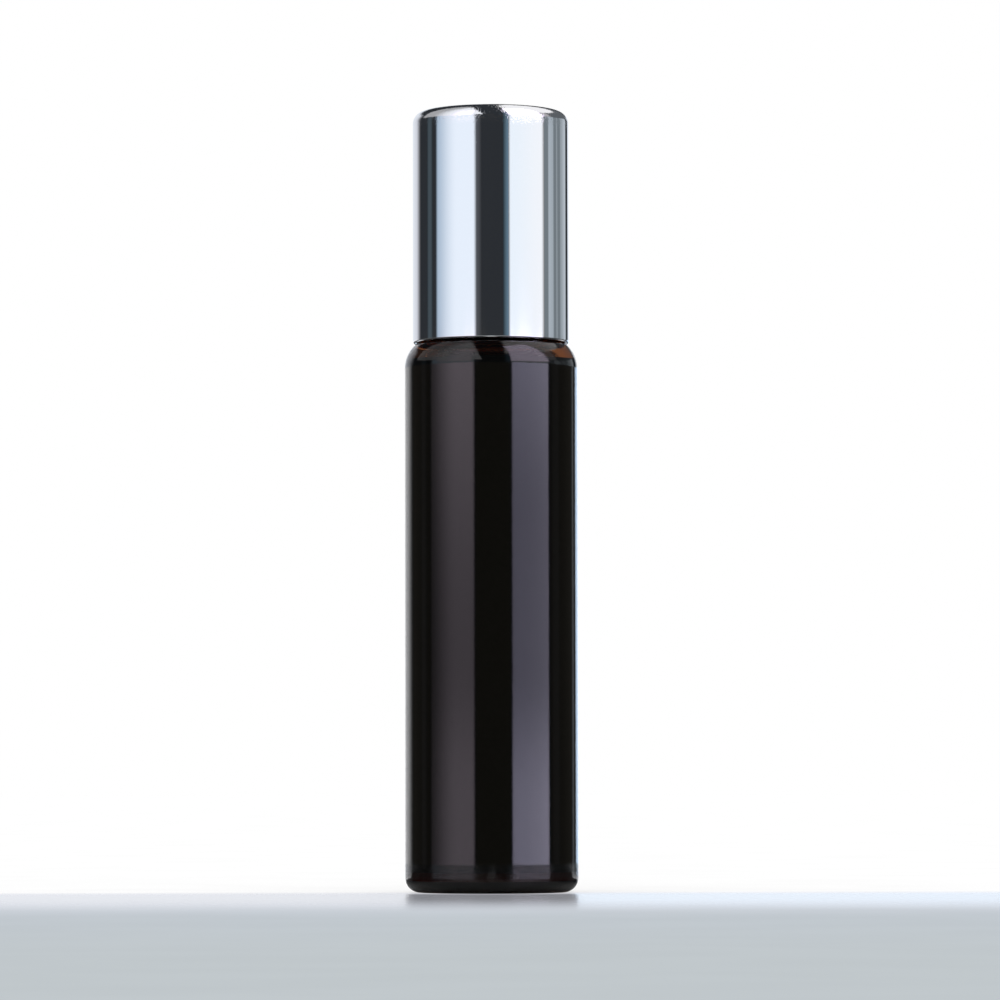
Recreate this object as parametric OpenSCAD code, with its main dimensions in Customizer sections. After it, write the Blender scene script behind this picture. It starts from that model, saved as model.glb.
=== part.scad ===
// Roll-on bottle: a tubular glass bottle with a screw neck, a ball in a snap housing, and a
// threaded inner cap under a drawn metal shell. Millimetres, +Z up, base centre at the origin.

/* [Glass bottle] */
// Outside diameter of the glass body
body_d = 19; // [17.6:0.1:24]
// Height of the glass from its base to the lip of the neck
glass_h = 73; // [50:0.5:100]
// Wall of the glass tube
glass_wall = 1.5; // [1:0.1:2.2]
// Thickness of the glass base
base_t = 2.2; // [1.6:0.1:4]
// Radius round the heel
heel_r = 1.6; // [1:0.05:3]
// Radius inside, between the wall and the floor
floor_r = 1.6; // [0.6:0.1:2.5]
// Radius of the shoulder
shoulder_r = 3.5; // [2:0.1:5]
// Diameter of the hollow pressed up into the base
pushup_d = 11; // [6:0.5:12]
// Depth of the hollow pressed up into the base
pushup_h = 0.6; // [0.2:0.1:1]

/* [Neck] */
// Height of the neck above the shoulder
neck_h = 11.9; // [10:0.1:16]
// Wall of the neck between its threads
neck_wall = 1.1; // [0.9:0.05:1.3]
// Radius where the neck rises from the shoulder
neck_fillet = 0.5; // [0.2:0.1:1]
// Radius round the lip of the neck
lip_r = 0.35; // [0.1:0.05:0.4]

/* [Screw thread] */
// Rise of the thread in one turn
pitch = 3; // [2.6:0.1:4]
// Turns of thread on the neck
neck_turns = 1.75; // [1:0.25:2]
// Turns of thread inside the cap
cap_turns = 1.75; // [1:0.25:2]
// Depth of both threads
thread_depth = 0.95; // [0.6:0.05:1]
// Thickness of the glass thread at its root
neck_thread_w = 1.7; // [1.2:0.1:1.8]
// Thickness of the moulded thread at its root
cap_thread_w = 1.5; // [1:0.1:1.6]
// Depth from the lip of the neck to the end of its thread
thread_top = 2.75; // [2:0.05:4]
// Gap between a thread's crest and the wall that it faces
thread_gap = 0.25; // [0.15:0.05:0.5]

/* [Roller] */
// Diameter of the ball
ball_d = 9.5; // [8:0.1:10.5]
// Height of the ball's centre above the lip of the neck
ball_rise = 3.4; // [3:0.1:4]
// Running gap round the ball
ball_fit = 0.06; // [0.03:0.01:0.1]
// Height from the ball's centre to the rim that keeps it in
keep_h = 1.7; // [1.2:0.1:2.2]
// Wall of the collar round the ball
collar_wall = 0.89; // [0.7:0.01:1.2]
// How far the neck stands out round the collar
neck_step = 0.3; // [0.2:0.05:0.6]
// How far the housing's flange stays inside the neck's edge
flange_inset = 0.1; // [0:0.05:0.2]
// Thickness of the housing's flange
flange_t = 0.8; // [0.5:0.1:1.2]
// Gap between the housing's stem and the bore
stem_gap = 0.1; // [0.05:0.01:0.2]
// Wall of the housing's stem
stem_wall = 0.9; // [0.6:0.1:1.1]
// Length of the stem below the lip of the neck
stem_l = 7.5; // [5:0.5:9]
// Width of the seat under the ball, inside the stem
seat_w = 0.9; // [0.5:0.1:1.4]
// How far the stem's sealing beads squeeze into the bore
bead_squeeze = 0.05; // [0.02:0.01:0.1]

/* [Cap] */
// Wall of the inner cap round its thread
liner_wall = 0.75; // [0.6:0.05:1]
// Wall of the metal shell
shell_t = 0.4; // [0.25:0.05:0.5]
// Radius round the top edge of the shell
crown_r = 1.3; // [0.7:0.1:2.5]
// Gap between the shell's rounded rim and the shoulder
rim_gap = 0.1; // [0.05:0.05:0.6]
// Gap between the inner cap's skirt and the shoulder
skirt_gap = 0.4; // [0.2:0.1:1]
// Thickness of the inner cap's ceiling
ceiling_t = 1.2; // [0.8:0.1:2]
// Space between the inner cap and the shell's top
crown_gap = 0.6; // [0.2:0.1:2]
// Height of the grip ribs outside the inner cap
rib_h = 0.25; // [0.15:0.05:0.3]
// Number of grip ribs outside the inner cap
rib_count = 24; // [12:2:36]

/* [Sealing pad] */
// How far the pad reaches past the ball all round
pad_margin = 0.65; // [0.3:0.05:0.9]
// Thickness of the pad
pad_t = 2.2; // [1.2:0.1:3]
// Gap between the pad and the ball when the cap is down
seal_gap = 0.3; // [0.1:0.05:0.6]
// Gap round the pad in its pocket
pad_gap = 0.15; // [0.1:0.05:0.3]

/* [Hidden] */
$fn = 64;
arc_steps = 12;
thread_steps = 30;
thread_sides = 6;
fade_deg = 40;
overrun = 0.3;
rib_w = 0.5;
rib_fit = 0.02;
bead_r = 0.3;
bead_pitch = 2.2;
bead_count = 2;
stem_lead = 0.4;
collar_round = 0.9;
keep_land = 0.3;
flange_round = 0.2;
pad_edge = 0.25;
pocket_wall = 0.8;
pocket_lip = 0.6;
pocket_lip_w = 0.45;
liner_edge = 0.5;
skirt_lead = 0.3;

body_r = body_d / 2;
body_in_r = body_r - glass_wall;
ball_r = ball_d / 2;
cup_r = ball_r + ball_fit;
collar_r = cup_r + collar_wall;
neck_r = collar_r + neck_step;
bore_r = neck_r - neck_wall;
shoulder_top = glass_h - neck_h;
shoulder_z = shoulder_top - shoulder_r;
shoulder_x = body_r - shoulder_r;
throat_r = body_in_r - bore_r;
throat_z = shoulder_top - glass_wall - throat_r;
dish_r = (pushup_d * pushup_d / 4 + pushup_h * pushup_h) / (2 * pushup_h);

ball_z = glass_h + ball_rise;
flange_r = neck_r - flange_inset;
stem_r = bore_r - stem_gap;
stem_in_r = stem_r - stem_wall;
feed_r = stem_in_r - seat_w;
keep_r = sqrt(cup_r * cup_r - keep_h * keep_h);
collar_edge = min(collar_round, collar_r - keep_r - keep_land);

pad_r = ball_r + pad_margin;
pad_z = ball_z + ball_r + seal_gap;
pocket_r = pad_r + pad_gap;
ceiling_z = pad_z + pad_t + pad_gap;
liner_top = ceiling_z + ceiling_t;
cap_top = liner_top + crown_gap + shell_t;

liner_in_r = neck_r + thread_depth + thread_gap;
liner_r = liner_in_r + liner_wall;
shell_in_r = liner_r + rib_h;
cap_r = shell_in_r + shell_t;
liner_z = shoulder_top + skirt_gap;
rim_r = shell_t / 2;
rim_z = shoulder_height(cap_r - rim_r, rim_r + rim_gap) - rim_r;
neck_thread_z = glass_h - thread_top - neck_turns * pitch;
cap_thread_z = neck_thread_z - pitch / 2;

// Height, at a distance from the axis, of a curve that stands clear of the shoulder by a gap all round
function shoulder_height(r, gap) =
    let (reach = shoulder_r + gap, x = max(0, min(reach, r - shoulder_x)))
    shoulder_z + sqrt(reach * reach - x * x);

// Points along an arc about a centre, from one angle to another
function arc(x, z, r, from, to) =
    [for (i = [0:arc_steps])
        let (a = from + (to - from) * i / arc_steps)
        [x + r * cos(a), z + r * sin(a)]];

// A thread's ridge at one place: a half ellipse that stands out of the wall by a share of its height
function ridge(wall_r, depth, width, side, share) =
    let (reach = overrun / 2 + (depth + overrun / 2) * share)
    [for (i = [0:thread_sides])
        let (a = -90 + 180 * i / thread_sides)
        [wall_r + side * (reach * cos(a) - overrun), width / 2 * sin(a)]];

// A ridge carried up a right-hand helix, growing out of the wall at one end and fading at the other.
// side is 1 for a thread outside a wall and -1 for one inside it.
module thread(wall_r, depth, width, turns, side) {
    rings = ceil(turns * thread_steps);
    count = thread_sides + 1;
    total = turns * 360;
    points = [for (i = [0:rings])
        let (a = total * i / rings, share = min(1, a / fade_deg, (total - a) / fade_deg))
        for (p = ridge(wall_r, depth, width, side, share))
            [p[0] * cos(a), p[0] * sin(a), p[1] + pitch * a / 360]];
    sides = [for (i = [0:rings - 1], j = [0:count - 1])
        let (a = i * count + j, b = i * count + (j + 1) % count)
        each [[a, b, b + count], [a, b + count, a + count]]];
    start = [for (j = [1:count - 2]) [0, j + 1, j]];
    end = [for (j = [1:count - 2]) [rings * count, rings * count + j, rings * count + j + 1]];
    faces = concat(sides, start, end);
    polyhedron(points, side > 0 ? faces : [for (f = faces) [f[0], f[2], f[1]]]);
}

// Half section of the glass outside: heel, body, shoulder, neck and its fillet
module glass_outside() {
    fillet_x = neck_r + neck_fillet;
    reach = shoulder_r + neck_fillet;
    lean = asin(max(0, fillet_x - shoulder_x) / reach);
    fillet_z = shoulder_z + reach * cos(lean);
    polygon(concat(
        [[0, 0]],
        arc(body_r - heel_r, heel_r, heel_r, -90, 0),
        arc(shoulder_x, shoulder_z, shoulder_r, 0, 90),
        [[0, shoulder_top]]));
    polygon(concat(
        arc(fillet_x, fillet_z, neck_fillet, 270 - lean, 180),
        [[neck_r - overrun, fillet_z], [neck_r - overrun, shoulder_z]]));
    polygon(concat(
        [[0, shoulder_z], [neck_r, shoulder_z]],
        arc(neck_r - lip_r, glass_h - lip_r, lip_r, 0, 90),
        [[0, glass_h]]));
}

// Half section of the space inside the glass, with the throat under the neck
module glass_inside() {
    polygon(concat(
        [[0, base_t]],
        arc(body_in_r - floor_r, base_t + floor_r, floor_r, -90, 0),
        arc(body_in_r - throat_r, throat_z, throat_r, 0, 90),
        [[bore_r, glass_h + overrun], [0, glass_h + overrun]]));
    polygon([
        [bore_r - overrun, glass_h + overrun],
        [bore_r + lip_r + overrun, glass_h + overrun],
        [bore_r - overrun, glass_h - lip_r - overrun]]);
}

module bottle() {
    color([0.13, 0.07, 0.05])
    difference() {
        union() {
            rotate_extrude() glass_outside();
            translate([0, 0, neck_thread_z])
                thread(neck_r, thread_depth, neck_thread_w, neck_turns, 1);
        }
        rotate_extrude() glass_inside();
        translate([0, 0, pushup_h - dish_r]) sphere(r = dish_r);
    }
}

module roller_housing() {
    keep_a = asin(keep_h / cup_r);
    feed_a = acos(feed_r / cup_r);
    feed_z = ball_rise - cup_r * sin(feed_a);
    color([0.93, 0.94, 0.92])
    translate([0, 0, glass_h])
    rotate_extrude() {
        polygon(concat(
            [[stem_in_r, -stem_l], [stem_r - stem_lead, -stem_l], [stem_r, stem_lead - stem_l]],
            [[stem_r, 0], [flange_r, 0]],
            arc(flange_r - flange_round, flange_t - flange_round, flange_round, 0, 90),
            [[collar_r, flange_t]],
            arc(collar_r - collar_edge, ball_rise + keep_h - collar_edge, collar_edge, 0, 90),
            arc(0, ball_rise, cup_r, keep_a, -feed_a),
            [[feed_r, feed_z - flange_round], [stem_in_r, feed_z - flange_round - stem_in_r + feed_r]]));
        for (i = [1:bead_count])
            translate([bore_r + bead_squeeze - bead_r, -i * bead_pitch]) circle(r = bead_r);
    }
}

module roller_ball() {
    color([0.8, 0.81, 0.83])
    translate([0, 0, ball_z]) sphere(r = ball_r);
}

module seal_pad() {
    color([0.95, 0.95, 0.96])
    translate([0, 0, pad_z])
    rotate_extrude()
    polygon(concat(
        [[0, 0]],
        arc(pad_r - pad_edge, pad_edge, pad_edge, -90, 0),
        arc(pad_r - pad_edge, pad_t - pad_edge, pad_edge, 0, 90),
        [[0, pad_t]]));
}

// Half section of the inner cap: its skirt, ceiling and the pocket that keeps the pad
module liner_section() {
    lip_z = pad_z - pad_gap;
    polygon(concat(
        [[liner_in_r + skirt_lead, liner_z], [liner_r, liner_z]],
        arc(liner_r - liner_edge, liner_top - liner_edge, liner_edge, 0, 90),
        [[0, liner_top], [0, ceiling_z], [pocket_r, ceiling_z], [pocket_r, lip_z]],
        [[pocket_r - pocket_lip_w, lip_z], [pocket_r - pocket_lip_w, lip_z - pocket_lip / 2]],
        [[pocket_r, lip_z - pocket_lip], [pocket_r + pocket_wall, lip_z - pocket_lip]],
        [[pocket_r + pocket_wall, ceiling_z], [liner_in_r, ceiling_z]],
        [[liner_in_r, liner_z + skirt_lead]]));
}

module cap_liner() {
    rib_z = liner_z + liner_edge;
    rib_l = cap_top - crown_r - liner_edge - rib_z;
    rib_x = liner_r - overrun;
    color([0.94, 0.94, 0.93]) {
        rotate_extrude() liner_section();
        translate([0, 0, cap_thread_z])
            thread(liner_in_r, thread_depth, cap_thread_w, cap_turns, -1);
        for (i = [0:rib_count - 1])
            rotate([0, 0, i * 360 / rib_count])
            translate([rib_x, -rib_w / 2, rib_z])
                cube([shell_in_r - rib_fit - rib_x, rib_w, rib_l]);
    }
}

module cap_shell() {
    crown_x = cap_r - crown_r;
    crown_z = cap_top - crown_r;
    color([0.82, 0.84, 0.87])
    rotate_extrude()
    polygon(concat(
        arc(cap_r - rim_r, rim_z + rim_r, rim_r, 180, 360),
        arc(crown_x, crown_z, crown_r, 0, 90),
        [[0, cap_top], [0, cap_top - shell_t]],
        arc(crown_x, crown_z, crown_r - shell_t, 90, 0)));
}

bottle();
roller_housing();
roller_ball();
seal_pad();
cap_liner();
cap_shell();
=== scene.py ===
import bpy, math
import numpy as np
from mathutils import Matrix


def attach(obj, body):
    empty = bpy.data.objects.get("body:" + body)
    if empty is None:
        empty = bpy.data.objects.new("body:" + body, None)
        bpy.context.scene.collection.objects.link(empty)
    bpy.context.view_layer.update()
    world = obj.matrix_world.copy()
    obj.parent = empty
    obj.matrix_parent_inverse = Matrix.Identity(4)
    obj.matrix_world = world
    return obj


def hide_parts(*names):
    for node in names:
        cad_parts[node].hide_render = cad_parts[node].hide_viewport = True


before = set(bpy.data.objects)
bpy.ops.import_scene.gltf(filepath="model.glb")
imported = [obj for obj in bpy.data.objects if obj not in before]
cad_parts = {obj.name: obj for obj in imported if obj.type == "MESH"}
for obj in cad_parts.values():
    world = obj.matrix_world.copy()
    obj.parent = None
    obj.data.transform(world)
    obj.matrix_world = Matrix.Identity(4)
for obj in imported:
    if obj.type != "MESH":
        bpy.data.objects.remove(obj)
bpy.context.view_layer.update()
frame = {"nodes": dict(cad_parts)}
print("frame loaded:", ", ".join(frame["nodes"]))

# All lengths are in millimetres here and become metres where a mesh is made
mm = 0.001

# Camera: a long lens a little over the table, tilted up, as far away as the outline's spread says
cameraSetup = {
    "distance": 573.6, "height": 12.68, "tilt": 3.0352, "pan": -0.091, "roll": 0.1,
    "lens": 187.73, "sensor": 36, "nearest": 10, "farthest": 50000,
}


def addCamera(c):
    data = bpy.data.cameras.new("camera")
    data.lens, data.sensor_width = c["lens"], c["sensor"]
    data.clip_start, data.clip_end = c["nearest"] * mm, c["farthest"] * mm
    cam = bpy.data.objects.new("camera", data)
    cam.location = (0, -c["distance"] * mm, c["height"] * mm)
    cam.rotation_euler = [math.radians(a) for a in (90 + c["tilt"], c["roll"], c["pan"])]
    bpy.context.scene.collection.objects.link(cam)
    bpy.context.scene.camera = cam


addCamera(cameraSetup)
bpy.context.scene.view_settings.view_transform = "Standard"


# Small helpers for node trees
noiseMiddle = (0.3, 0.7)  # where most of a noise's values lie


def newTree(name):
    mat = bpy.data.materials.new(name)
    mat.use_nodes = True
    mat.node_tree.nodes.clear()
    return mat, mat.node_tree


def add(tree, kind, **values):
    node = tree.nodes.new(kind)
    for key, value in values.items():
        setattr(node, key, value)
    return node


def link(tree, a, b):
    tree.links.new(a, b)


def maths(tree, operation, a, b=None):
    node = add(tree, "ShaderNodeMath", operation=operation)
    for socket, value in zip(node.inputs, (a, b)):
        if isinstance(value, (int, float)):
            socket.default_value = value
        elif value is not None:
            link(tree, value, socket)
    return node.outputs[0]


def smoothRange(tree, value, low, high, toLow=0.0, toHigh=1.0):
    node = add(tree, "ShaderNodeMapRange", interpolation_type="SMOOTHSTEP")
    link(tree, value, node.inputs["Value"])
    node.inputs["From Min"].default_value, node.inputs["From Max"].default_value = low, high
    node.inputs["To Min"].default_value, node.inputs["To Max"].default_value = toLow, toHigh
    return node.outputs["Result"]


# The same for a span in millimetres, which may hold its two results too
def smoothSpan(tree, value, span, *results):
    return smoothRange(tree, value, span[0] * mm, span[1] * mm, *(results or span[2:]))


def mixColour(tree, factor, a, b):
    node = add(tree, "ShaderNodeMix", data_type="RGBA")
    link(tree, factor, node.inputs["Factor"])
    for socket, value in ((node.inputs["A"], a), (node.inputs["B"], b)):
        if isinstance(value, tuple):
            socket.default_value = (*value, 1)
        else:
            link(tree, value, socket)
    return node.outputs["Result"]


# Studio: panels of soft light round the table, each from one azimuth to another. Azimuth 0 is the camera's
# side, positive to its right, in degrees. soft is half the width of a panel's edges, and its light goes from
# near to far over turn, or over its whole width. low and high are elevations, and steps add a share of the
# light from one elevation to another. Where panels overlap, the brighter one shows. Mirrors see glassPanels
# under stepAt and capPanels over it. From the camera, the glass's side mirrors the first and the cap the
# second.
glassPanels = [
    {"name": "room", "from": -200, "to": 200, "soft": 1, "near": (0.064, 0.06, 0.052)},
    {"name": "backdropLeft", "from": -200, "to": -137, "soft": 10, "near": (0.98, 0.98, 1.0)},
    {"name": "standLeft", "from": -108, "to": -96, "soft": 4, "near": (0.1, 0.098, 0.095)},
    {"name": "softboxLeft", "from": -88, "to": -23, "soft": 3, "near": (0.2, 0.18, 0.2),
     "far": (1.33, 1.16, 1.33), "turn": (-92, -44), "steps": [(-0.2, 1.2, -0.31), (1.4, 6.0, 0.8)]},
    {"name": "frontWall", "from": -26, "to": 30, "soft": 4, "near": (0.078, 0.074, 0.06)},
    {"name": "softboxRight", "from": 28, "to": 82.6, "soft": 2.5, "near": (1.3, 1.25, 1.68),
     "far": (1.56, 1.49, 1.95), "steps": [(-5, -4, 0.95), (-0.4, 1.2, -0.92), (2.8, 5.6, 0.95)]},
    {"name": "standRight", "from": 88, "to": 104, "soft": 4, "near": (0.1, 0.098, 0.095)},
    {"name": "screenRight", "from": 134, "to": 143, "soft": 2.5, "near": (0.07, 0.08, 0.09),
     "far": (0.36, 0.38, 0.4)},
    {"name": "backdropRight", "from": 152, "to": 200, "soft": 3, "near": (1.1, 1.37, 1.77),
     "far": (1.1, 1.35, 1.6), "turn": (152, 181)},
]
capPanels = [
    {"name": "backdropLeft", "from": -200, "to": -135.5, "soft": 10.5, "near": (0.8, 0.84, 0.9),
     "far": (0.72, 0.74, 0.8), "turn": (-165, -145), "high": 24, "fade": 3},
    {"name": "standLeft", "from": -108, "to": -97, "soft": 3.5, "near": (0.06, 0.08, 0.095), "high": 13,
     "fade": 1.5},
    {"name": "softboxLeft", "from": -87.3, "to": -22.9, "soft": 3.2, "near": (0.4, 0.51, 0.64),
     "far": (0.88, 0.95, 1.05), "turn": (-92, -50), "high": 50, "fade": 4},
    {"name": "softboxLeftTop", "from": -80, "to": -25, "soft": 8, "softEnd": 2.6, "near": (0.8, 0.8, 0.9),
     "far": (1.3, 1.22, 1.34), "turn": (-72, -44), "low": 8.5, "high": 50, "fade": 0.9},
    {"name": "edgeLeft", "from": -30, "to": -15, "soft": 6, "near": (0.085, 0.09, 0.102), "high": 18,
     "fade": 6},
    {"name": "edgeRight", "from": 18.5, "to": 27.5, "soft": 2.5, "near": (0.055, 0.085, 0.108),
     "far": (0.14, 0.23, 0.31), "high": 50, "fade": 4},
    {"name": "softboxRight", "from": 27.2, "to": 84.2, "soft": 2.4, "softEnd": 4.2,
     "near": (0.9, 0.97, 1.04), "far": (0.98, 1.0, 1.04), "high": 50, "fade": 4},
    {"name": "softboxRightTop", "from": 27.2, "to": 84.2, "soft": 2.4, "softEnd": 4.2,
     "near": (2.7, 2.4, 3.0), "low": 8.5, "high": 64, "fade": 0.9},
    {"name": "softboxRightOver", "from": 78, "to": 101, "soft": 2.4, "near": (0.45, 0.44, 0.45),
     "low": 13.5, "high": 50, "fade": 1.5},
    {"name": "standRight", "from": 84, "to": 147, "soft": 3, "near": (0.18, 0.21, 0.23), "high": 13,
     "fade": 1.5},
    {"name": "slatNear", "from": 94, "to": 107.5, "soft": 2.5, "near": (0.43, 0.485, 0.535),
     "far": (0.37, 0.42, 0.46), "high": 13, "fade": 1.5},
    {"name": "slatMiddle", "from": 112.5, "to": 118, "soft": 2.5, "near": (0.29, 0.33, 0.36), "high": 13,
     "fade": 1.5},
    {"name": "slatFar", "from": 124, "to": 146, "soft": 2.5, "near": (0.3, 0.34, 0.37),
     "far": (0.52, 0.57, 0.62), "high": 13, "fade": 1.5},
    {"name": "sideRight", "from": 84, "to": 165, "soft": 3, "near": (0.11, 0.12, 0.13), "low": 12,
     "high": 38, "fade": 3},
    {"name": "backdropRight", "from": 159, "to": 200, "soft": 3, "near": (0.8, 0.86, 0.95),
     "far": (0.95, 0.96, 0.98), "turn": (158, 180), "high": 14, "fade": 2},
    {"name": "overLeft", "edges": [(1, -0.15, -0.25, 0.04), (0.56, 1, 0.15, 0.06)],
     "near": (0.4, 0.4, 0.41), "far": (0.93, 0.94, 0.98), "turn": (-100, -62), "low": 13.5, "fade": 1.5},
    {"name": "overRight", "edges": [(-1, -0.27, -0.13, 0.04), (-1, 0, -0.075, 0.03), (-0.18, 1, 1, 0.07)],
     "near": (0.97, 0.96, 0.97), "low": 34.5, "fade": 2.5},
]
# What is seen through the glass, at every elevation
throughPanels = [
    {"name": "behindRight", "from": 128, "to": 186, "soft": 4, "near": (0.23, 0.22, 0.2), "low": 6,
     "fade": 3},
]
# dark lies between the panels. floorFront and floorSide lie under the horizon, ahead and off to the side by
# floorTurn. plain is the soft light on matt surfaces, from level up to plainHigh.
studio = {
    "dark": (0.026, 0.029, 0.034), "white": (1.0, 1.0, 1.0), "stepAt": 4.68, "step": 0.05,
    "plain": (0.75, 1.1), "plainHigh": 60, "horizon": (-4, -2.5), "leastRise": 0.02,
    "floorFront": (0.33, 0.36, 0.38), "floorSide": (0.07, 0.08, 0.09), "floorTurn": (15, 50),
}


# A panel's share of the sky: smooth steps in azimuth, elevation and across the edges of an overhead panel,
# where u and v are how far the direction leans to the right and away from the camera as it rises by one
def panelLight(tree, p, sky):
    parts = []
    if "from" in p:
        parts.append(smoothRange(tree, sky["azimuth"], p["from"] - p["soft"], p["from"] + p["soft"]))
        softEnd = p.get("softEnd", p["soft"])
        parts.append(smoothRange(tree, sky["azimuth"], p["to"] - softEnd, p["to"] + softEnd, 1.0, 0.0))
    for a, b, limit, soft in p.get("edges", []):
        lean = maths(tree, "ADD", maths(tree, "MULTIPLY", sky["u"], a), maths(tree, "MULTIPLY", sky["v"], b))
        parts.append(smoothRange(tree, lean, limit - soft, limit + soft, 1.0, 0.0))
    if "low" in p:
        parts.append(smoothRange(tree, sky["elevation"], p["low"] - p["fade"], p["low"] + p["fade"]))
    if "high" in p:
        ends = (p["high"] - p["fade"], p["high"] + p["fade"])
        parts.append(smoothRange(tree, sky["elevation"], *ends, 1.0, 0.0))
    share = 1.0
    for start, end, more in p.get("steps", []):
        share = maths(tree, "ADD", smoothRange(tree, sky["elevation"], start, end, 0.0, more), share)
    for part in parts:
        share = maths(tree, "MULTIPLY", part, share)
    glow = add(tree, "ShaderNodeVectorMath", operation="SCALE")
    if "far" in p:
        turn = p["turn"] if "turn" in p else (p["from"], p["to"])
        along = smoothRange(tree, sky["azimuth"], *turn)
        link(tree, mixColour(tree, along, p["near"], p["far"]), glow.inputs[0])
    else:
        glow.inputs[0].default_value = p["near"]
    link(tree, share, glow.inputs["Scale"])
    return glow.outputs[0]


def brightest(tree, panels, sky):
    total = None
    for p in panels:
        node = add(tree, "ShaderNodeVectorMath", operation="MAXIMUM")
        link(tree, panelLight(tree, p, sky), node.inputs[0])
        if total is None:
            node.inputs[1].default_value = studio["dark"]
        else:
            link(tree, total, node.inputs[1])
        total = node.outputs[0]
    return total


def buildStudio(s):
    world = bpy.data.worlds.new("studio")
    bpy.context.scene.world = world
    world.use_nodes = True
    tree = world.node_tree
    tree.nodes.clear()
    coord = add(tree, "ShaderNodeTexCoord")
    split = add(tree, "ShaderNodeSeparateXYZ")
    link(tree, coord.outputs["Generated"], split.inputs[0])
    x, y, z = split.outputs
    path = add(tree, "ShaderNodeLightPath")
    rise = maths(tree, "MAXIMUM", z, s["leastRise"])
    towards = maths(tree, "MULTIPLY", y, -1.0)
    sky = {
        "azimuth": maths(tree, "DEGREES", maths(tree, "ARCTAN2", x, towards)),
        "elevation": maths(tree, "DEGREES", maths(tree, "ARCSINE", z)),
        "u": maths(tree, "DIVIDE", x, rise), "v": maths(tree, "DIVIDE", y, rise),
    }
    over = smoothRange(tree, sky["elevation"], s["stepAt"] - s["step"], s["stepAt"] + s["step"])
    panels = mixColour(tree, over, brightest(tree, glassPanels, sky), brightest(tree, capPanels, sky))
    aside = smoothRange(tree, maths(tree, "ABSOLUTE", sky["azimuth"]), *s["floorTurn"])
    floor = mixColour(tree, aside, s["floorFront"], s["floorSide"])
    panels = mixColour(tree, smoothRange(tree, sky["elevation"], *s["horizon"]), floor, panels)
    through = brightest(tree, throughPanels, sky)
    panels = mixColour(tree, path.outputs["Is Transmission Ray"], panels, through)
    # cameras see plain white behind the table, mirrors and glass see the panels, and the rest a soft light
    plain = smoothRange(tree, sky["elevation"], 0, s["plainHigh"], *s["plain"])
    mirrored = maths(tree, "MAXIMUM", path.outputs["Is Glossy Ray"], path.outputs["Is Transmission Ray"])
    mirrored = maths(tree, "MULTIPLY", mirrored, maths(tree, "LESS_THAN", path.outputs["Diffuse Depth"], 0.5))
    light = mixColour(tree, mirrored, plain, panels)
    light = mixColour(tree, path.outputs["Is Camera Ray"], light, s["white"])
    shine = add(tree, "ShaderNodeBackground")
    link(tree, light, shine.inputs["Color"])
    out = add(tree, "ShaderNodeOutputWorld")
    link(tree, shine.outputs[0], out.inputs[0])


buildStudio(studio)

# Table: pale and half glossy, with a paler grey front that is out of focus in the photograph. Spans are in
# millimetres: behind, front, deepFront, mirrorFront, paleFront, mirrorNear and mirrorFar lie along Y, gloss,
# through and open go out from the axis, and side goes out to both sides.
table = {
    "half": 3000, "open": (180, 206),  # half its length, and where mirrors stop seeing it
    # seen by the camera: white behind, plain near the bottle, grey and then deep in front
    "behind": (-14, 4), "front": (-110, 0), "deepFront": (-220, -80), "white": (1.0, 1.0, 1.0),
    "plain": (0.80, 0.82, 0.91), "grey": (0.535, 0.58, 0.622), "deep": (0.530, 0.573, 0.598),
    "cloudScale": 60, "cloud": (0.99, 1.01), "shadowShare": 0.36,  # the share that can be shaded
    # its mirror, and where it begins for the camera: out from the heel, so that round the heel the table's
    # glow shows as a painted ring of light
    "ior": 1.5, "roughness": 0.2, "mirror": 0.85, "gloss": (5, 13), "mirrorFront": (-86, -26),
    # seen by glass and metal, a painted reflection unlike what the camera sees: dim by the bottle and at its
    # sides, pale in front and in a wedge at the back
    "side": (8, 14), "mirrored": 0.3, "mirroredSide": 0.03, "paleFront": (-110, -50),
    "frontColour": (0.51, 0.525, 0.54), "wedge": 0.8, "paleBack": (0, 15), "backColour": (0.9, 0.9, 0.92),
    # the share of its mirror that they see: a span, and the share at both its ends
    "mirrorNear": (-20, 0, 0.85, 0.25), "mirrorFar": (55, 110, 0.25, 1.3),
    # seen through the glass: a painted glow of light on the table round the heel, strongest beside the heel
    # and fainter farther off
    "through": (14, 28, 0.08, 0.015),
}


def mixShader(tree, factor, a, b):
    node = add(tree, "ShaderNodeMixShader")
    link(tree, factor, node.inputs[0])
    link(tree, a, node.inputs[1])
    link(tree, b, node.inputs[2])
    return node.outputs[0]


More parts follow.
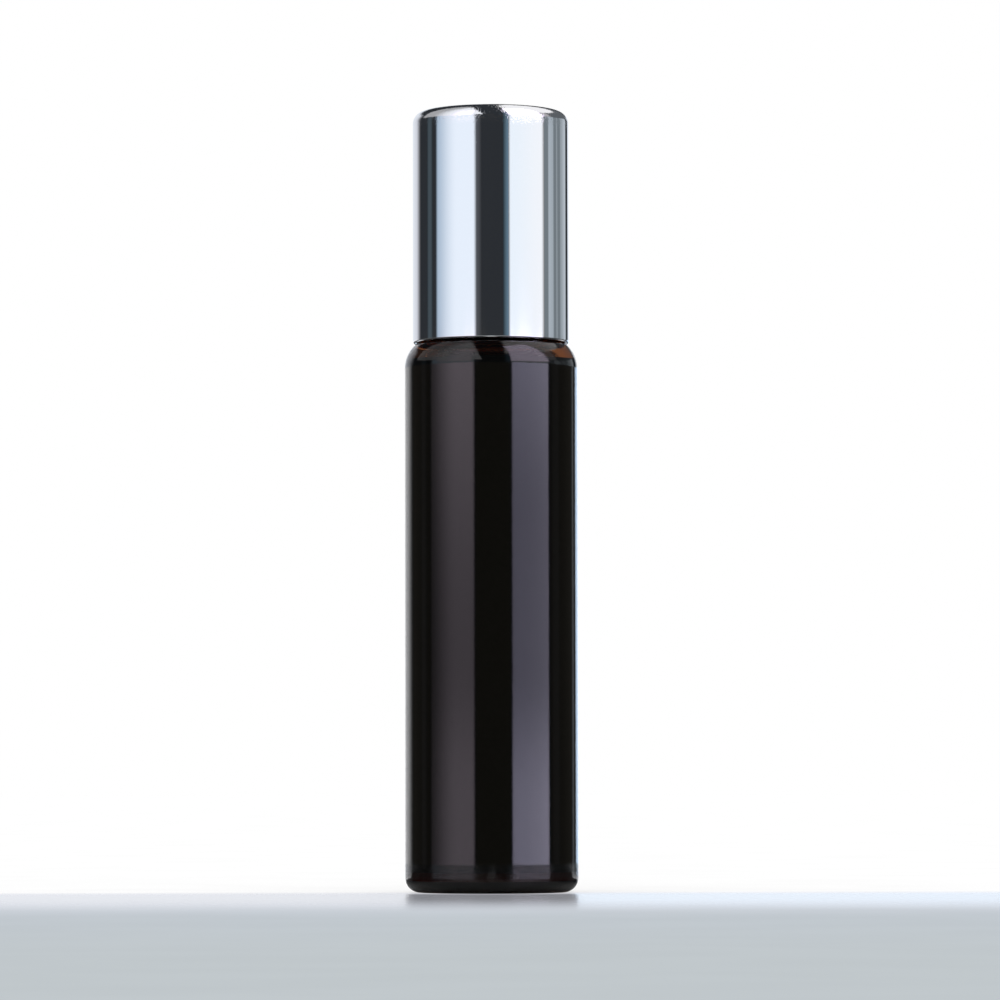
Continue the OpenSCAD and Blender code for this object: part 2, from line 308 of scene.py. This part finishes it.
def shadeTable(t):
    mat, tree = newTree("tablePale")
    coord = add(tree, "ShaderNodeTexCoord")
    split = add(tree, "ShaderNodeSeparateXYZ")
    link(tree, coord.outputs["Object"], split.inputs[0])
    x, y = split.outputs["X"], split.outputs["Y"]
    aside = maths(tree, "ABSOLUTE", x)
    squares = maths(tree, "ADD", maths(tree, "MULTIPLY", x, x), maths(tree, "MULTIPLY", y, y))
    radius = maths(tree, "SQRT", squares)
    path = add(tree, "ShaderNodeLightPath")
    fresnel = add(tree, "ShaderNodeFresnel")
    fresnel.inputs["IOR"].default_value = t["ior"]
    # what the camera sees
    behind = smoothSpan(tree, y, t["behind"])
    front = smoothSpan(tree, y, t["front"], 1.0, 0.0)
    deep = smoothSpan(tree, y, t["deepFront"], 1.0, 0.0)
    own = mixColour(tree, behind, t["plain"], t["white"])
    own = mixColour(tree, front, own, mixColour(tree, deep, t["grey"], t["deep"]))
    cloudy = add(tree, "ShaderNodeTexNoise")
    cloudy.inputs["Scale"].default_value = t["cloudScale"]
    link(tree, coord.outputs["Object"], cloudy.inputs["Vector"])
    faint = smoothRange(tree, cloudy.outputs["Fac"], *noiseMiddle, *t["cloud"])
    scaled = add(tree, "ShaderNodeVectorMath", operation="SCALE")
    link(tree, own, scaled.inputs[0])
    link(tree, faint, scaled.inputs["Scale"])
    shaded = add(tree, "ShaderNodeVectorMath", operation="SCALE")
    link(tree, scaled.outputs[0], shaded.inputs[0])
    shaded.inputs["Scale"].default_value = t["shadowShare"]
    diffuse = add(tree, "ShaderNodeBsdfDiffuse")
    link(tree, shaded.outputs[0], diffuse.inputs["Color"])
    glow = add(tree, "ShaderNodeEmission")
    link(tree, scaled.outputs[0], glow.inputs["Color"])
    glow.inputs["Strength"].default_value = 1 - t["shadowShare"]
    both = add(tree, "ShaderNodeAddShader")
    link(tree, diffuse.outputs[0], both.inputs[0])
    link(tree, glow.outputs[0], both.inputs[1])
    gloss = add(tree, "ShaderNodeBsdfAnisotropic")
    gloss.inputs["Roughness"].default_value = t["roughness"]
    gloss.inputs["Color"].default_value = (1, 1, 1, 1)
    strength = maths(tree, "MULTIPLY", fresnel.outputs[0], t["mirror"])
    # the mirror begins out from the heel, leaving a painted ring of the table's glow round it
    begun = smoothSpan(tree, radius, t["gloss"])
    begun = maths(tree, "MULTIPLY", begun, smoothSpan(tree, y, t["mirrorFront"]))
    begun = maths(tree, "MULTIPLY", begun, maths(tree, "SUBTRACT", 1.0, behind))
    toCamera = mixShader(tree, maths(tree, "MULTIPLY", strength, begun), both.outputs[0], gloss.outputs[0])
    # what glass and metal see: painted reflection colours, which stand in for the table's own in their
    # mirrors
    side = smoothSpan(tree, aside, t["side"], 1.0, 0.0)
    dim = maths(tree, "MULTIPLY", side, t["mirrored"] - t["mirroredSide"])
    dim = maths(tree, "ADD", dim, t["mirroredSide"])
    dimColour = add(tree, "ShaderNodeCombineXYZ")
    for socket in dimColour.inputs:
        link(tree, dim, socket)
    paleFront = maths(tree, "MULTIPLY", smoothSpan(tree, y, t["paleFront"], 1.0, 0.0), side)
    mirrorPaintedColour = mixColour(tree, paleFront, dimColour.outputs[0], t["frontColour"])
    wedge = maths(tree, "SUBTRACT", y, maths(tree, "MULTIPLY", aside, t["wedge"]))
    mirrorPaintedColour = mixColour(tree, smoothSpan(tree, wedge, t["paleBack"]), mirrorPaintedColour, t["backColour"])
    seen = add(tree, "ShaderNodeBsdfDiffuse")
    link(tree, mirrorPaintedColour, seen.inputs["Color"])
    share = maths(tree, "MAXIMUM", smoothSpan(tree, y, t["mirrorNear"]), smoothSpan(tree, y, t["mirrorFar"]))
    toGlass = mixShader(tree, maths(tree, "MULTIPLY", strength, share), seen.outputs[0], gloss.outputs[0])
    # what is seen through the glass: painted light, an emission round the heel that stands in for light
    # coming through the base
    through = add(tree, "ShaderNodeEmission")
    link(tree, smoothSpan(tree, radius, t["through"]), through.inputs["Strength"])
    toGlass = mixShader(tree, path.outputs["Is Transmission Ray"], toGlass, through.outputs[0])
    clear = add(tree, "ShaderNodeBsdfTransparent")
    toGlass = mixShader(tree, smoothSpan(tree, radius, t["open"]), toGlass, clear.outputs[0])
    out = add(tree, "ShaderNodeOutputMaterial")
    link(tree, mixShader(tree, path.outputs["Is Camera Ray"], toGlass, toCamera), out.inputs["Surface"])
    return mat


def buildTable(t):
    half = t["half"] * mm
    mesh = bpy.data.meshes.new("table")
    corners = [(-half, -half, 0), (half, -half, 0), (half, half, 0), (-half, half, 0)]
    mesh.from_pydata(corners, [], [(0, 1, 2, 3)])
    top = bpy.data.objects.new("table", mesh)
    bpy.context.scene.collection.objects.link(top)
    mesh.materials.append(shadeTable(t))


buildTable(table)
print("camera, studio and table are set")


shortStep = 0.02  # the first and last step of a straight line
tiny = 1e-6  # points nearer than this are one point


# An arc in the half section: points about (x, z) from one angle to another, in degrees
def arc(x, z, radius, start, end, steps):
    a = np.radians(np.linspace(start, end, steps + 1))
    return np.stack([x + radius * np.cos(a), z + radius * np.sin(a)], axis=1)


# A straight line whose first and last steps are very short, so that smooth shading keeps its ends flat
def straight(a, b, steps):
    a, b = np.array(a), np.array(b)
    short = shortStep / np.linalg.norm(b - a)
    t = np.concatenate([[0], np.linspace(short, 1 - short, steps + 1), [1]])[:, None]
    return a * (1 - t) + b * t


def joinLines(*lines):
    points = np.concatenate(lines)
    step = np.linalg.norm(np.diff(points, axis=0), axis=1)
    return points[np.concatenate([[True], step > tiny])]


# A surface of revolution: every point (r, z) of the half section is carried round the axis, and
# push(r, z, angle, row) may move the radius. A section that starts and ends on the axis gets a pole there.
# finish gives each band between two rows the number of its material.
def revolve(name, section, around, push=None, finish=None):
    rows = len(section)
    angle = np.linspace(0, 2 * np.pi, around, endpoint=False)
    r = np.repeat(section[:, 0][:, None], around, axis=1)
    z = np.repeat(section[:, 1][:, None], around, axis=1)
    if push is not None:
        r = push(r, z, angle[None, :], np.arange(rows)[:, None])
    grid = np.stack([r * np.cos(angle), r * np.sin(angle), z], axis=2)
    startPole, endPole = section[0, 0] < tiny, section[-1, 0] < tiny
    first, last = int(startPole), rows - int(endPole)
    points = grid[first:last].reshape(-1, 3)
    count = last - first
    i, j = np.meshgrid(np.arange(count - 1), np.arange(around), indexing="ij")
    k = (j + 1) % around
    quads = np.stack([i * around + j, i * around + k, (i + 1) * around + k, (i + 1) * around + j], axis=2)
    faces = quads.reshape(-1, 4).tolist()
    ring = np.arange(around)
    after = (ring + 1) % around
    if startPole:
        points = np.vstack([points, [[0, 0, section[0, 1]]]])
        faces += np.stack([np.full(around, len(points) - 1), after, ring], axis=1).tolist()
    if endPole:
        points = np.vstack([points, [[0, 0, section[-1, 1]]]])
        top = (count - 1) * around
        faces += np.stack([np.full(around, len(points) - 1), top + ring, top + after], axis=1).tolist()
    mesh = bpy.data.meshes.new(name)
    mesh.from_pydata(points * mm, [], faces)
    mesh.polygons.foreach_set("use_smooth", np.ones(len(faces), dtype=bool))
    if finish is not None:
        bands = np.repeat(finish[first:last - 1], around)
        ends = [np.full(around, finish[0])] * startPole + [np.full(around, finish[-1])] * endPole
        mesh.polygons.foreach_set("material_index", np.concatenate([bands, *ends]).astype(np.int32))
    mesh.update()
    piece = bpy.data.objects.new(name, mesh)
    bpy.context.scene.collection.objects.link(piece)
    return piece


# Glass bottle: the half section runs from the hollow under the base, up the outside, over the lip and down
# inside. roof is the glass over the hollow, throatR rounds the hollow there, and it is dark up to fillZ.
glass = {
    "height": 73.0, "bodyR": 9.5, "wall": 1.5, "base": 2.2, "heelR": 1.6, "floorR": 1.6, "shoulderR": 3.5,
    "pushupR": 5.5, "pushupH": 0.6, "roof": 1.3, "throatR": 2.2, "fillZ": 58.3,
    "neckH": 11.9, "neckR": 6.0, "boreR": 4.9, "fillet": 0.5, "lipR": 0.35,
    "pitch": 3.0, "turns": 1.75, "threadTop": 2.75, "threadDepth": 0.95, "threadW": 1.7, "ridge": 0.8,
    "fade": 40, "around": 256,
    "steps": {"pushup": 14, "foot": 4, "heel": 24, "side": 40, "shoulder": 32, "fillet": 8, "neck": 110,
              "lip": 6, "lipTop": 2, "bore": 12, "roof": 3, "throat": 12, "floorEdge": 16, "floor": 12},
}


def glassSection(g):
    n = g["steps"]
    top = g["height"] - g["neckH"]
    shoulderX, shoulderZ = g["bodyR"] - g["shoulderR"], top - g["shoulderR"]
    reach = g["shoulderR"] + g["fillet"]
    lean = math.degrees(math.asin((g["neckR"] + g["fillet"] - shoulderX) / reach))
    filletZ = shoulderZ + reach * math.cos(math.radians(lean))
    inR = g["bodyR"] - g["wall"]
    throatR = g["throatR"]
    throatZ = top - g["roof"] - throatR
    lipZ = g["height"] - g["lipR"]
    dishR = (g["pushupR"] ** 2 + g["pushupH"] ** 2) / (2 * g["pushupH"])
    dishSpan = math.degrees(math.asin(g["pushupR"] / dishR))
    outside = joinLines(
        arc(0, g["pushupH"] - dishR, dishR, 90, 90 - dishSpan, n["pushup"]),
        straight((g["pushupR"], 0), (g["bodyR"] - g["heelR"], 0), n["foot"]),
        arc(g["bodyR"] - g["heelR"], g["heelR"], g["heelR"], -90, 0, n["heel"]),
        straight((g["bodyR"], g["heelR"]), (g["bodyR"], shoulderZ), n["side"]),
        arc(shoulderX, shoulderZ, g["shoulderR"], 0, 90 - lean, n["shoulder"]),
        arc(g["neckR"] + g["fillet"], filletZ, g["fillet"], 270 - lean, 180, n["fillet"]),
        straight((g["neckR"], filletZ), (g["neckR"], lipZ), n["neck"]),
        arc(g["neckR"] - g["lipR"], lipZ, g["lipR"], 0, 90, n["lip"]),
        straight((g["neckR"] - g["lipR"], g["height"]), (g["boreR"] + g["lipR"], g["height"]), n["lipTop"]),
        arc(g["boreR"] + g["lipR"], lipZ, g["lipR"], 90, 180, n["lip"]))
    level = math.degrees(math.asin((g["fillZ"] - throatZ) / throatR))
    inside = joinLines(
        straight((g["boreR"], lipZ), (g["boreR"], throatZ + throatR), n["bore"]),
        straight((g["boreR"], throatZ + throatR), (inR - throatR, throatZ + throatR), n["roof"]),
        arc(inR - throatR, throatZ, throatR, 90, level, n["throat"]),
        arc(inR - throatR, throatZ, throatR, level, 0, n["throat"]),
        straight((inR, throatZ), (inR, g["base"] + g["floorR"]), n["side"]),
        arc(inR - g["floorR"], g["base"] + g["floorR"], g["floorR"], 0, -90, n["floorEdge"]),
        straight((inR - g["floorR"], g["base"]), (0, g["base"]), n["floor"]))
    return outside, inside, filletZ


# The thread is a rounded ridge: the neck's radius grows by depth * (1 - t^2)^ridge, where t is the distance
# along the axis from a helix that climbs one pitch a turn, for a half width of 1. It fades in and out.
def threadPush(g, neckRows):
    start = g["height"] - g["threadTop"] - g["turns"] * g["pitch"]
    turn = 2 * np.pi

    def push(r, z, angle, row):
        grown = r.copy()
        for lap in range(math.ceil(g["turns"]) + 1):
            total = angle + turn * lap
            helix = start + g["pitch"] * total / turn
            share = np.clip(np.minimum(total, g["turns"] * turn - total) / math.radians(g["fade"]), 0, 1)
            off = np.clip(np.abs(z - helix) / (g["threadW"] / 2), 0, 1)
            bump = g["threadDepth"] * share * (1 - off ** 2) ** g["ridge"]
            grown = np.where(neckRows(row, z), grown + bump, grown)
        return grown
    return push


def makeGlass(g):
    outside, inside, filletZ = glassSection(g)
    section = joinLines(outside, inside)
    neck = len(outside)
    neckTop = g["height"] - g["lipR"] * 2
    push = threadPush(g, lambda row, z: (row < neck) & (z > filletZ) & (z < neckTop))
    middle = (section[:-1, 1] + section[1:, 1]) / 2
    dark = (np.arange(len(section) - 1) >= neck - 1) & (middle < g["fillZ"])
    return revolve("glassBottle", section, g["around"], push, dark.astype(int))


# Cap shell: drawn metal, one wall all over, with a rounded rim and a round crown
shell = {
    "outR": 8.6, "wall": 0.4, "crownR": 1.3, "rimZ": 60.346, "topZ": 86.0, "around": 192,
    "steps": {"top": 10, "crownInside": 16, "side": 30, "rim": 16, "crown": 24},
}


def makeShell(s):
    n = s["steps"]
    edge = s["wall"] / 2
    crownX, crownZ = s["outR"] - s["crownR"], s["topZ"] - s["crownR"]
    section = joinLines(
        straight((0, s["topZ"] - s["wall"]), (crownX, s["topZ"] - s["wall"]), n["top"]),
        arc(crownX, crownZ, s["crownR"] - s["wall"], 90, 0, n["crownInside"]),
        straight((s["outR"] - s["wall"], crownZ), (s["outR"] - s["wall"], s["rimZ"] + edge), n["side"]),
        arc(s["outR"] - edge, s["rimZ"] + edge, edge, 180, 360, n["rim"]),
        straight((s["outR"], s["rimZ"] + edge), (s["outR"], crownZ), n["side"]),
        arc(crownX, crownZ, s["crownR"], 0, 90, n["crown"]),
        straight((crownX, s["topZ"]), (0, s["topZ"]), n["top"]))
    return revolve("capShell", section, s["around"])


# Materials
def principled(name, color, roughness, metallic=0.0, ior=1.5):
    mat, tree = newTree(name)
    shader = add(tree, "ShaderNodeBsdfPrincipled")
    shader.inputs["Base Color"].default_value = (*color, 1)
    shader.inputs["Roughness"].default_value = roughness
    shader.inputs["Metallic"].default_value = metallic
    shader.inputs["IOR"].default_value = ior
    out = add(tree, "ShaderNodeOutputMaterial")
    link(tree, shader.outputs[0], out.inputs["Surface"])
    return mat, tree, shader, out


def noise(tree, scale, stretch=(1, 1, 1), detail=3.0):
    coord = add(tree, "ShaderNodeTexCoord")
    place = add(tree, "ShaderNodeMapping")
    place.inputs["Scale"].default_value = stretch
    link(tree, coord.outputs["Object"], place.inputs["Vector"])
    tex = add(tree, "ShaderNodeTexNoise")
    tex.inputs["Scale"].default_value = scale
    tex.inputs["Detail"].default_value = detail
    link(tree, place.outputs[0], tex.inputs["Vector"])
    return tex.outputs["Fac"]


def bumped(tree, height, strength, distance, under=None):
    node = add(tree, "ShaderNodeBump")
    node.inputs["Strength"].default_value = strength
    node.inputs["Distance"].default_value = distance
    link(tree, height, node.inputs["Height"])
    if under is not None:
        link(tree, under, node.inputs["Normal"])
    return node.outputs[0]


# Amber glass: clear at the surface, with faint waves along the tube, and brown by its thickness
amber = {
    "ior": 1.54, "brown": (0.84, 0.473, 0.093), "density": 750, "roughScale": 300, "rough": (0.0, 0.015),
    "waveScale": 90, "waveStretch": (1, 1, 0.3), "waveStrength": 0.02, "waveHeight": 0.2,
}


def amberGlass(a):
    mat, tree, shader, out = principled("amberGlass", (1, 1, 1), 0.0, ior=a["ior"])
    shader.inputs["Transmission Weight"].default_value = 1.0
    rough = smoothRange(tree, noise(tree, a["roughScale"]), *noiseMiddle, *a["rough"])
    link(tree, rough, shader.inputs["Roughness"])
    waves = noise(tree, a["waveScale"], a["waveStretch"])
    link(tree, bumped(tree, waves, a["waveStrength"], a["waveHeight"] * mm), shader.inputs["Normal"])
    absorb = add(tree, "ShaderNodeVolumeAbsorption")
    absorb.inputs["Color"].default_value = (*a["brown"], 1)
    absorb.inputs["Density"].default_value = a["density"]
    link(tree, absorb.outputs[0], out.inputs["Volume"])
    return mat


# The inside of the glass up to the fill level: dark, as the full bottle looks from outside
content = {
    "ior": 1.33, "roughness": 0.6, "cloudScale": 120, "cloudStretch": (1, 1, 0.2),
    "dark": (0.003, 0.008, 0.018), "pale": (0.005, 0.012, 0.026),
}


def darkInside(c):
    mat, tree, shader, out = principled("darkInside", c["dark"], c["roughness"], ior=c["ior"])
    faint = noise(tree, c["cloudScale"], c["cloudStretch"])
    link(tree, mixColour(tree, faint, c["dark"], c["pale"]), shader.inputs["Base Color"])
    shader.inputs["Specular IOR Level"].default_value = 0.0
    return mat


# Polished aluminium, with faint lines along it. The crown is grainy where the sheet was drawn over the punch,
# and the grain thins out below it. crown and thinning are heights, and lineHeight and dotHeight are depths.
aluminium = {
    "color": (0.9, 0.91, 0.93), "roughScale": 500, "roughStretch": (1, 1, 0.05), "roughSpan": (0.25, 0.75),
    "rough": (0.02, 0.045), "crown": (83.2, 85.2), "crownRough": 0.02, "thinning": (79, 84, 0.0, 0.2),
    "patchScale": 1500, "patches": (0.55, 0.7), "lineScale": 260, "lineStretch": (1, 1, 0.06),
    "lineStrength": 0.03, "lineHeight": 0.1, "dotScale": 5200, "dots": (0.5, 0.62), "dotHeight": 0.0025,
}


def polishedMetal(a):
    mat, tree, shader, out = principled("polishedAluminium", a["color"], a["rough"][0], 1.0)
    rough = noise(tree, a["roughScale"], a["roughStretch"])
    rough = smoothRange(tree, rough, *a["roughSpan"], *a["rough"])
    coord = add(tree, "ShaderNodeTexCoord")
    split = add(tree, "ShaderNodeSeparateXYZ")
    link(tree, coord.outputs["Object"], split.inputs[0])
    crown = smoothSpan(tree, split.outputs["Z"], a["crown"])
    patches = smoothRange(tree, noise(tree, a["patchScale"]), *a["patches"])
    sparse = maths(tree, "MULTIPLY", smoothSpan(tree, split.outputs["Z"], a["thinning"]), patches)
    grain = maths(tree, "MAXIMUM", crown, sparse)
    rough = maths(tree, "ADD", rough, maths(tree, "MULTIPLY", crown, a["crownRough"]))
    link(tree, rough, shader.inputs["Roughness"])
    lines = noise(tree, a["lineScale"], a["lineStretch"])
    lines = bumped(tree, lines, a["lineStrength"], a["lineHeight"] * mm)
    dots = smoothRange(tree, noise(tree, a["dotScale"], detail=1.0), *a["dots"])
    dots = maths(tree, "MULTIPLY", dots, grain)
    link(tree, bumped(tree, dots, 1.0, a["dotHeight"] * mm, lines), shader.inputs["Normal"])
    return mat


ball = {"color": (0.78, 0.79, 0.8), "roughScale": 700, "rough": (0.04, 0.1)}


def steel(b):
    mat, tree, shader, out = principled("ballSteel", b["color"], b["rough"][0], 1.0)
    rough = smoothRange(tree, noise(tree, b["roughScale"]), *noiseMiddle, *b["rough"])
    link(tree, rough, shader.inputs["Roughness"])
    return mat


# Moulded pieces: milky plastic and foam, through which light spreads by depth
plastic = {"roughScale": 800, "milky": 0.2, "depth": 1.0}


def moulded(name, color, rough):
    mat, tree, shader, out = principled(name, color, rough[0])
    rough = smoothRange(tree, noise(tree, plastic["roughScale"]), *noiseMiddle, *rough)
    link(tree, rough, shader.inputs["Roughness"])
    shader.inputs["Subsurface Weight"].default_value = plastic["milky"]
    shader.inputs["Subsurface Radius"].default_value = [plastic["depth"] * mm] * 3
    return mat


glassBottle = makeGlass(glass)
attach(glassBottle, "glass")
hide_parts("bottle")
glassBottle.data.materials.append(amberGlass(amber))
glassBottle.data.materials.append(darkInside(content))

capShell = makeShell(shell)
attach(capShell, "cap")
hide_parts("cap_shell")
capShell.data.materials.append(polishedMetal(aluminium))
print("glass bottle and cap shell are made")

finishes = {
    "roller_ball": steel(ball),
    "roller_housing": moulded("naturalPlastic", (0.86, 0.87, 0.85), (0.3, 0.45)),
    "cap_liner": moulded("whitePlastic", (0.9, 0.9, 0.89), (0.3, 0.5)),
    "seal_pad": moulded("padFoam", (0.92, 0.92, 0.93), (0.6, 0.8)),
}
for node, finish in finishes.items():
    frame["nodes"][node].material_slots[0].material = finish
print("materials are set")
